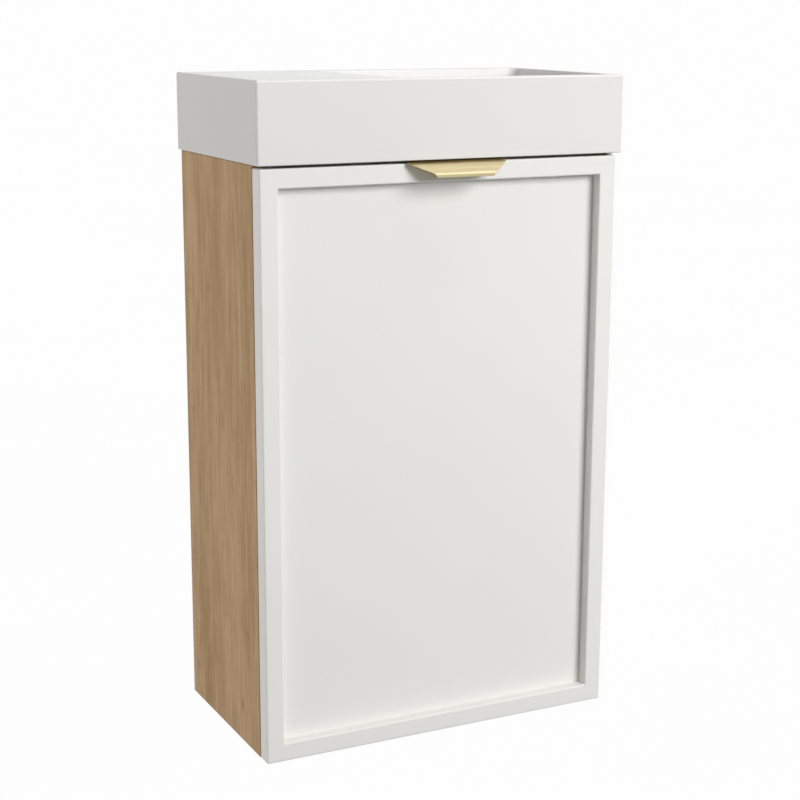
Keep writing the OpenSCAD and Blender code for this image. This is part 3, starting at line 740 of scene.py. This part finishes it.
def oak():
    """Light oak with upright grain, small knots, and two columns of toothed figure."""
    colours = bpy.context.scene.vanity_colours
    mat, tree, surface, place = shader("oak", specular_ior_level=0.35)
    half_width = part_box("right_side_panel")[1].x
    vector, dark = place, 0.0
    for side, depth, height, width in KNOTS:
        parted = use_group(tree, "knot", {
            "Vector": vector, "Centre": (side * half_width, -depth, height), "Width": width})
        vector = parted["Vector"]
        dark = maths(tree, "MAXIMUM", parted["Mask"], dark)
    split = put(tree, "ShaderNodeSeparateXYZ", {0: vector}).outputs
    sway = noise(tree, scaled(tree, vector, SWAY_SCALE), detail=3.0)
    figure = maths(tree, "ADD", *(
        toothed_figure(tree, split, sway, depth) for depth in (FRONT_FIGURE, REAR_FIGURE)))
    wood = use_group(tree, "wood_grain", {
        "Vector": vector, "Light": rgba(colours.oak_light), "Dark": rgba(colours.oak_dark),
        "Pore": rgba(colours.oak_pore), "Figure": figure, "Pores": 0.28})
    cast = noise(tree, scaled(tree, vector, BLUSH_SCALE), detail=1.0)
    blush = remapped(tree, cast, *BLUSH_RANGE, 0.0, BLUSH_STRENGTH)
    colour = mixed(tree, blush, wood["Colour"], rgba(OAK_BLUSH))
    heart = maths(tree, "MULTIPLY", dark, KNOT_STRENGTH)
    colour = mixed(tree, heart, colour, rgba(colours.oak_pore))
    covered(tree, surface, colour, wood["Mask"], (0.46, 0.6), wood["Height"],
            strength=0.5, depth=OAK_DEPTH)
    return mat


FINISHES = {make.__name__: make for make in (
    ceramic, sealant, oak, melamine, steel, zinc, beech, paint, brass, nylon, magnet, bumper)}


def material(name):
    """The finish of that name, which is made the first time that it is used."""
    return bpy.data.materials.get(name + FINISH_ENDING) or FINISHES[name]()


def shapes():
    """The radii in the panel."""
    return bpy.context.scene.vanity_shapes


# Basin

# The bowl is to the right of this place, its walls meet its floor at more than this angle, and the
# basin's upright corners are round within this distance
BOWL_START = -60 * MM
BOWL_CREASE = math.radians(30)
BASIN_CORNER = 6 * MM

# How far up the normals of a level face and of the bowl's leaning walls point
LEVEL_NORMAL = 0.999
WALL_NORMALS = (0.05, 0.6)


class VANITY_OT_basin(bpy.types.Operator):
    """Makes the glazed basin, with soft edges and a bowl that runs into its floor"""

    bl_idname = "vanity.make_basin"
    bl_label = "Basin"

    def execute(self, context):
        low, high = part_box("basin")
        bm = cad_copy("basin")
        top = high.z

        def outer(edge):
            return all(self.on_outline(v.co, low, high) for v in edge.verts)

        head = corner_edges(bm, lambda e: at_level(top)(e) and outer(e))
        rounded(bm, head, shapes().glaze_round, segments=5)
        foot = corner_edges(bm, lambda e: at_level(low.z)(e) and outer(e))
        rounded(bm, foot, BASIN_FOOT_ROUND, segments=3)
        rim = corner_edges(
            bm, lambda e: at_level(top)(e) and all(v.co.x > BOWL_START for v in e.verts))
        rounded(bm, rim, shapes().rim_round, segments=5)
        floor = self.bowl_floor(bm, low.z, top)
        seam = corner_edges(bm, lambda e: at_level(floor)(e) and self.in_bowl_wall(e), BOWL_CREASE)
        rounded(bm, seam, shapes().bowl_fillet, segments=7)
        piece("basin_glazed", bm, "ceramic", "root", "basin", smooth=40)
        return {"FINISHED"}

    @staticmethod
    def on_outline(point, low, high):
        """Whether a point lies on an outer wall or on one of the upright round corners."""
        across = min(point.x - low.x, high.x - point.x)
        along = min(point.y - low.y, high.y - point.y)
        return min(across, along) < ON_PLANE or max(across, along) < BASIN_CORNER

    @staticmethod
    def bowl_floor(bm, bottom, top):
        """The height of the largest level face between the basin's bottom and top that looks up."""
        level = [
            f for f in bm.faces
            if f.normal.z > LEVEL_NORMAL and bottom < f.calc_center_median().z < top - MM]
        return max(level, key=lambda f: f.calc_area()).calc_center_median().z

    @staticmethod
    def in_bowl_wall(edge):
        """Whether a leaning wall of the bowl ends at this edge."""
        least, most = WALL_NORMALS
        return any(least < abs(f.normal.z) < most for f in edge.link_faces)


class VANITY_OT_sealant(bpy.types.Operator):
    """Makes the bead of sealant that the basin sits on"""

    bl_idname = "vanity.make_sealant"
    bl_label = "Sealant"

    def execute(self, context):
        bm = cad_copy("sealant_bead")
        rounded(bm, end_edges(bm, *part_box("sealant_bead")), SEALANT_ROUND, segments=3)
        # Its grey finish is painted shade, the dark line of the gap under the basin
        piece("sealant_line", bm, "sealant", "root", "sealant_bead")
        return {"FINISHED"}


# Carcass

class VANITY_OT_sides(bpy.types.Operator):
    """Makes the two oak side panels"""

    bl_idname = "vanity.make_sides"
    bl_label = "Oak sides"

    def execute(self, context):
        for node in ("left_side_panel", "right_side_panel"):
            bm = hull_edges(cad_copy(node), *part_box(node), shapes().board_round, segments=2)
            piece(node + "_oak", bm, "oak", "root", node)
        return {"FINISHED"}


class VANITY_OT_boards(bpy.types.Operator):
    """Makes the white boards inside the carcass"""

    bl_idname = "vanity.make_boards"
    bl_label = "White boards"

    def execute(self, context):
        for node in ("bottom_panel", "front_rail", "hanging_rail", "shelf"):
            bm = hull_edges(cad_copy(node), *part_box(node), shapes().board_round, segments=2)
            piece(node + "_white", bm, "melamine", "root", node)
        dress("melamine", "back_panel")
        return {"FINISHED"}


class VANITY_OT_joinery(bpy.types.Operator):
    """Finishes the dowels, cam fittings and shelf pins"""

    bl_idname = "vanity.make_joinery"
    bl_label = "Joinery"

    def execute(self, context):
        dress("beech", "assembly_dowels", "door_dowels")
        dress("zinc", "cam_locks")
        dress("steel", "cam_bolts", "shelf_pins")
        return {"FINISHED"}


# Door

# Room around the centre panel, the dowels, the bushes and the lower pivot plate's arm
PANEL_PLAY = 0.1 * MM
DOWEL_PLAY = 0.1 * MM
BUSH_PLAY = 0.05 * MM
ARM_PLAY = 0.5 * MM

# How much less a screw's hole measures than its head, from the axis out
PULL_SCREW_STEP = 1.35 * MM
STRIKE_SCREW_STEP = 0.9 * MM

# How far the cutters of the frame's joints pass its outside
CUTTER_MARGIN = 5 * MM

# How much of an edge that runs from front to back points that way, and how much of the normal of a
# face that looks aside may do so
DEPTHWISE = 0.9
SIDEWAYS = 0.5


def bores(node, axis, clearance, overshoot=0.0):
    """Cutters for the round holes that the solids of a CAD node lie in."""
    found = []
    index = "xyz".index(axis)
    for low, high in islands(node):
        across = [i for i in range(3) if i != index]
        radius = min(high[i] - low[i] for i in across) / 2 + clearance
        start = (low + high) / 2
        start[index] = low[index] - overshoot
        found.append(rod(start, axis, high[index] - low[index] + 2 * overshoot, radius))
    return found


class VANITY_OT_door_frame(bpy.types.Operator):
    """Makes the door frame in one, with soft front edges, and parts it into stiles and rails"""

    bl_idname = "vanity.make_door_frame"
    bl_label = "Door frame"

    def execute(self, context):
        left_low, left_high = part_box("door_left_stile")
        right_low, right_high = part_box("door_right_stile")
        panel_low, panel_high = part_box("door_panel")
        member = left_high.x - left_low.x
        rebate_reach = right_high.x - panel_high.x - PANEL_PLAY
        bm = block(left_low, right_high)
        back = max(bm.faces, key=lambda f: f.normal.y)
        bmesh.ops.inset_region(bm, faces=[back], thickness=rebate_reach, use_even_offset=True)
        sunk = bmesh.ops.extrude_face_region(bm, geom=[back])
        bmesh.ops.delete(bm, geom=[back], context="FACES_ONLY")
        back = next(g for g in sunk["geom"] if isinstance(g, bmesh.types.BMFace))
        bmesh.ops.translate(bm, verts=back.verts, vec=(0, panel_low.y - left_high.y, 0))
        bmesh.ops.inset_region(
            bm, faces=[back], thickness=member - rebate_reach, use_even_offset=True)
        front = min(bm.faces, key=lambda f: f.normal.y)
        bmesh.ops.inset_region(bm, faces=[front], thickness=member, use_even_offset=True)
        rims = list(back.edges) + list(front.edges)
        bmesh.ops.delete(bm, geom=[back, front], context="FACES_ONLY")
        bmesh.ops.bridge_loops(bm, edges=rims)
        bmesh.ops.recalc_face_normals(bm, faces=bm.faces)

        def fore(edge):
            run = (edge.verts[0].co - edge.verts[1].co).normalized()
            outside = all(near(abs(v.co.x), right_high.x) for v in edge.verts)
            return at_level(left_low.y, 1)(edge) or (abs(run.y) > DEPTHWISE and outside)

        def aft(edge):
            return at_level(left_high.y, 1)(edge) and any(
                abs(f.normal.y) < SIDEWAYS and abs(v.co.x) > panel_high.x
                for f in edge.link_faces for v in f.verts)

        rounded(bm, corner_edges(bm, fore), shapes().door_round, segments=4)
        rounded(bm, corner_edges(bm, aft), DOOR_BACK_ROUND, segments=2)
        self.part_out(bm, left_high.x, right_low.x)
        bm.free()
        return {"FINISHED"}

    def part_out(self, bm, left, right):
        """Cuts the frame at its joints. Each member gets its bores."""
        low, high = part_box("door_left_stile")[0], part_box("door_right_stile")[1]
        middle = (low.z + high.z) / 2
        beyond = Vector((1, 1, 1)) * CUTTER_MARGIN
        start, end = low - beyond, high + beyond
        at_left = (start, (left, end.y, end.z))
        at_right = ((right, start.y, start.z), end)
        cuts = {
            "door_left_stile": [((left, start.y, start.z), end)],
            "door_right_stile": [(start, (right, end.y, end.z))],
            "door_top_rail": [at_left, at_right, (start, (end.x, end.y, middle))],
            "door_bottom_rail": [at_left, at_right, ((start.x, start.y, middle), end)],
        }
        for node, boxes in cuts.items():
            part = bm.copy()
            for corners in boxes:
                part = without(part, block(*corners))
            holes = bores("door_dowels", "x", DOWEL_PLAY)
            if node == "door_right_stile":
                holes += bores("upper_door_bush", "z", BUSH_PLAY, MM)
                holes += bores("lower_door_bush", "z", BUSH_PLAY)
                holes.append(self.notch())
            if node == "door_top_rail":
                holes += bores("handle_screws", "z", -PULL_SCREW_STEP)
                holes += bores("strike_screws", "y", -STRIKE_SCREW_STEP)
            part = without(part, gathered(holes))
            piece(node + "_painted", part, "paint", "door", node)

    @staticmethod
    def notch():
        """The room in the hinge stile's foot for the lower pivot plate's arm."""
        plate_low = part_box("lower_pivot_plate")[0]
        bush_low, bush_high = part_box("lower_door_bush")
        stile_low, stile_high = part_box("door_right_stile")
        pin = (bush_low + bush_high) / 2
        reach = pin.y - plate_low.y + ARM_PLAY
        return block((pin.x - reach, pin.y - reach, stile_low.z - MM),
                     (stile_high.x + MM, stile_high.y + MM, bush_low.z))


class VANITY_OT_door_panel(bpy.types.Operator):
    """Finishes the door's centre panel"""

    bl_idname = "vanity.make_door_panel"
    bl_label = "Door panel"

    def execute(self, context):
        dress("paint", "door_panel")
        return {"FINISHED"}


# The pull's folds turn by less than this at each of their facets, and its cut edges by more
FOLD_CREASE = math.radians(40)


class VANITY_OT_pull(bpy.types.Operator):
    """Makes the folded brass pull with softened cut edges"""

    bl_idname = "vanity.make_pull"
    bl_label = "Pull"

    def execute(self, context):
        bm = cad_copy("handle")
        rounded(bm, corner_edges(bm, lambda e: True, FOLD_CREASE), shapes().sheet_round, segments=2)
        piece("pull_brass", bm, "brass", "door", "handle", smooth=50)
        return {"FINISHED"}


# Fittings

# The cross in a screw's head: half a slot's width, its depth, and half its length in the larger and
# in the smaller heads
SLOT_HALF_WIDTH = 0.42 * MM
SLOT_DEPTH = 1.1 * MM
LARGE_CROSS = 1.7 * MM
SMALL_CROSS = 1.3 * MM


def recessed(node, finish, body, axis, reach):
    """Replaces a node of screws with the same screws, each with a cross recess in its head."""
    bm = cad_copy(node)
    index = "xyz".index(axis.strip("-"))
    for low, high in islands(node):
        face = low if axis.startswith("-") else high
        centre = (low + high) / 2
        centre[index] = face[index]
        for across in (i for i in range(3) if i != index):
            half = Vector([SLOT_HALF_WIDTH] * 3)
            half[index] = SLOT_DEPTH
            half[across] = reach
            bm = without(bm, block(centre - half, centre + half))
    piece(node + "_cross", bm, finish, body, node)


class VANITY_OT_pivots(bpy.types.Operator):
    """Makes the pivot hinges at the top and bottom of the door"""

    bl_idname = "vanity.make_pivots"
    bl_label = "Pivot hinges"

    def execute(self, context):
        for node in ("upper_pivot_plate", "lower_pivot_plate"):
            bm = cad_copy(node)
            rounded(bm, end_edges(bm, *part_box(node)), shapes().metal_round, segments=2)
            piece(node + "_steel", bm, "steel", "root", node)
        dress("steel", "upper_pivot_pin", "lower_pivot_pin")
        dress("nylon", "upper_door_bush", "lower_door_bush", "pivot_washers")
        return {"FINISHED"}


class VANITY_OT_catch(bpy.types.Operator):
    """Makes the magnetic catch, its strike plate and the door bumpers"""

    bl_idname = "vanity.make_catch"
    bl_label = "Catch"

    def execute(self, context):
        bm = hull_edges(cad_copy("catch_body"), *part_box("catch_body"), CATCH_ROUND, segments=3)
        piece("catch_case", bm, "nylon", "root", "catch_body")
        bm = hull_edges(
            cad_copy("strike_plate"), *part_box("strike_plate"), shapes().metal_round, segments=2)
        piece("strike_steel", bm, "steel", "door", "strike_plate")
        dress("magnet", "catch_magnet")
        dress("steel", "catch_poles")
        bm = cad_copy("door_bumpers")
        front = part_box("door_bumpers")[0].y
        rounded(bm, corner_edges(bm, at_level(front, 1)), BUMPER_ROUND, segments=3)
        piece("bumper_pads", bm, "bumper", "root", "door_bumpers")
        return {"FINISHED"}


class VANITY_OT_screws(bpy.types.Operator):
    """Makes the screws with cross recesses"""

    bl_idname = "vanity.make_screws"
    bl_label = "Screws"

    def execute(self, context):
        recessed("upper_plate_screws", "steel", "root", "z", LARGE_CROSS)
        recessed("lower_plate_screws", "steel", "root", "-z", LARGE_CROSS)
        recessed("catch_screws", "steel", "root", "-z", LARGE_CROSS)
        recessed("strike_screws", "steel", "door", "y", SMALL_CROSS)
        recessed("handle_screws", "brass", "door", "z", LARGE_CROSS)
        return {"FINISHED"}


# Studio

# Where the lights stand and look, how wide they are, and their colours
KEY_PLACE = Vector((1.38, -2.96, 1.25))
SIDE_PLACE = Vector((-2.7, 1.1, -0.2))
LEFT_PLACE = Vector((-2.8, -0.4, 0.5))
OVERHEAD_PLACE = Vector((0.3, -0.1, 1.9))
LIGHT_AIM = Vector((0, -0.2, -0.2))
KEY_WIDTH = 1.7
SIDE_WIDTH = 2.0
LEFT_WIDTH = 2.0
OVERHEAD_WIDTH = 1.6
WHITE_LIGHT = (1.0, 1.0, 1.0)
WARM_LIGHT = (1.0, 0.985, 0.965)

# Where reflections see the window and the wall, the cosines of the angles between which these fade,
# and how far to the left and right the room behind them changes
WINDOW_DIRECTION = Vector((0.43, -0.38, 0.82)).normalized()
WALL_DIRECTION = Vector((0.43, 0.87, 0.22)).normalized()
GLOW_FADE = (0.84, 0.97)
ROOM_SPREAD = 0.8

FLOOR_RADIUS = 40.0
FLOOR_SIDES = 96
SENSOR_WIDTH = 36


class VANITY_OT_studio(bpy.types.Operator):
    """Sets up the pale floor, the soft light and the camera"""

    bl_idname = "vanity.make_studio"
    bl_label = "Studio"

    def execute(self, context):
        studio = context.scene.vanity_studio
        context.scene.view_settings.view_transform = "Standard"
        self.sky(context.scene, studio)
        self.floor(studio)
        self.lights(studio)
        self.camera(context.scene, studio)
        return {"FINISHED"}

    @staticmethod
    def sky(scene, studio):
        """Even light from all around. Reflections see a room that is brighter at the right, with a
        high window in front and a pale wall behind, and the camera sees plain white."""
        world = bpy.data.worlds.new("studio_sky")
        scene.world = world
        world.use_nodes = True
        tree = world.node_tree
        tree.nodes.clear()
        direction = tree.nodes.new("ShaderNodeTexCoord").outputs["Generated"]
        towards = put(tree, "ShaderNodeSeparateXYZ", {0: direction}).outputs
        room = remapped(tree, towards["X"], -ROOM_SPREAD, ROOM_SPREAD,
                        studio.mirrored_left, studio.mirrored_right)
        for middle, level in (
                (WINDOW_DIRECTION, studio.mirrored_window),
                (WALL_DIRECTION, studio.mirrored_wall)):
            facing = vectors(tree, "DOT_PRODUCT", {0: direction, 1: middle}, "Value")
            glow = remapped(tree, facing, *GLOW_FADE, 0.0, level, "SMOOTHSTEP")
            room = maths(tree, "ADD", room, glow)
        fill, mirrored, seen = [
            put(tree, "ShaderNodeBackground", {"Color": (1, 1, 1, 1), "Strength": level}).outputs[0]
            for level in (studio.fill, room, studio.white)]
        path = tree.nodes.new("ShaderNodeLightPath").outputs
        lit = put(tree, "ShaderNodeMixShader", {
            0: path["Is Glossy Ray"], 1: fill, 2: mirrored}).outputs[0]
        both = put(tree, "ShaderNodeMixShader", {
            0: path["Is Camera Ray"], 1: lit, 2: seen}).outputs[0]
        put(tree, "ShaderNodeOutputWorld", {"Surface": both})

    @staticmethod
    def floor(studio):
        """A wide pale floor that is as bright as the sky behind it."""
        bm = bmesh.new()
        bmesh.ops.create_circle(bm, cap_ends=True, segments=FLOOR_SIDES, radius=FLOOR_RADIUS,
                                matrix=Matrix.Translation((0, 0, -studio.floor_drop)))
        mesh = meshed("studio_floor", bm)
        mat, tree, surface, place = shader(
            "pale_floor", roughness=0.9, emission_strength=1.0, base_color=(0, 0, 0, 1),
            specular_ior_level=0.0)
        tone = use_group(tree, "soft_variation", {
            "Vector": place, "Colour": rgba([studio.white] * 3), "Patch Scale": 0.4,
            "Amount": 0.004})
        tree.links.new(tone["Colour"], surface["Emission Color"])
        mesh.materials.append(mat)
        obj = linked("studio_floor", mesh)
        obj.visible_diffuse = False
        obj.visible_glossy = False
        obj.visible_shadow = False

    @staticmethod
    def lights(studio):
        """A large soft key at the front right, two weaker lights at the left, and one above."""
        for name, place, colour, width, power in (
                ("key_light", KEY_PLACE, WHITE_LIGHT, KEY_WIDTH, studio.key),
                ("side_light", SIDE_PLACE, WARM_LIGHT, SIDE_WIDTH, studio.side),
                ("left_light", LEFT_PLACE, WARM_LIGHT, LEFT_WIDTH, studio.left),
                ("overhead_light", OVERHEAD_PLACE, WHITE_LIGHT, OVERHEAD_WIDTH, studio.overhead)):
            lamp = bpy.data.lights.new(name, "AREA")
            lamp.shape = "SQUARE"
            lamp.color = colour
            lamp.size = width
            lamp.energy = power
            obj = linked(name, lamp)
            obj.location = place
            obj.rotation_euler = (LIGHT_AIM - place).to_track_quat("-Z", "Y").to_euler()
            obj.visible_glossy = False

    @staticmethod
    def camera(scene, studio):
        """The camera of the picture: turned to the right, looking down a little."""
        lens = bpy.data.cameras.new("camera")
        lens.sensor_width = SENSOR_WIDTH
        lens.lens = studio.focal_length
        obj = linked("camera", lens)
        level = Euler((math.radians(90) - studio.camera_pitch, 0, -studio.camera_yaw)).to_matrix()
        lean = Matrix.Rotation(studio.camera_roll, 3, "Z")
        obj.matrix_world = Matrix.Translation(studio.camera_place) @ (level @ lean).to_4x4()
        scene.camera = obj


PARTS = (
    VANITY_OT_basin, VANITY_OT_sealant, VANITY_OT_sides, VANITY_OT_boards, VANITY_OT_joinery,
    VANITY_OT_door_frame, VANITY_OT_door_panel, VANITY_OT_pull, VANITY_OT_pivots, VANITY_OT_catch,
    VANITY_OT_screws, VANITY_OT_studio,
)


class VANITY_PT_tools(bpy.types.Panel):
    """Lists the pieces of the vanity unit"""

    bl_idname = "VANITY_PT_tools"
    bl_label = "Vanity unit"
    bl_space_type = "VIEW_3D"
    bl_region_type = "UI"
    bl_category = "Vanity"

    def draw(self, context):
        column = self.layout.column()
        for part in PARTS:
            column.operator(part.bl_idname)
        for group in (context.scene.vanity_shapes, context.scene.vanity_colours,
                      context.scene.vanity_studio):
            for name in group.__annotations__:
                column.prop(group, name)


GROUP_CLASSES = {
    "vanity_shapes": VanityShapes, "vanity_colours": VanityColours, "vanity_studio": VanityStudio,
}


def register():
    for name, kind in GROUP_CLASSES.items():
        bpy.utils.register_class(kind)
        setattr(bpy.types.Scene, name, PointerProperty(type=kind))
    for kind in (*PARTS, VANITY_PT_tools):
        bpy.utils.register_class(kind)


def unregister():
    for kind in (VANITY_PT_tools, *reversed(PARTS)):
        bpy.utils.unregister_class(kind)
    for name, kind in reversed(GROUP_CLASSES.items()):
        delattr(bpy.types.Scene, name)
        bpy.utils.unregister_class(kind)


def main():
    register()
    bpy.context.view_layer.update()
    bpy.ops.vanity.make_basin()
    bpy.ops.vanity.make_sealant()
    bpy.ops.vanity.make_sides()
    bpy.ops.vanity.make_boards()
    bpy.ops.vanity.make_joinery()
    bpy.ops.vanity.make_door_frame()
    bpy.ops.vanity.make_door_panel()
    bpy.ops.vanity.make_pull()
    bpy.ops.vanity.make_pivots()
    bpy.ops.vanity.make_catch()
    bpy.ops.vanity.make_screws()
    bpy.ops.vanity.make_studio()


if __name__ == "__main__":
    main()
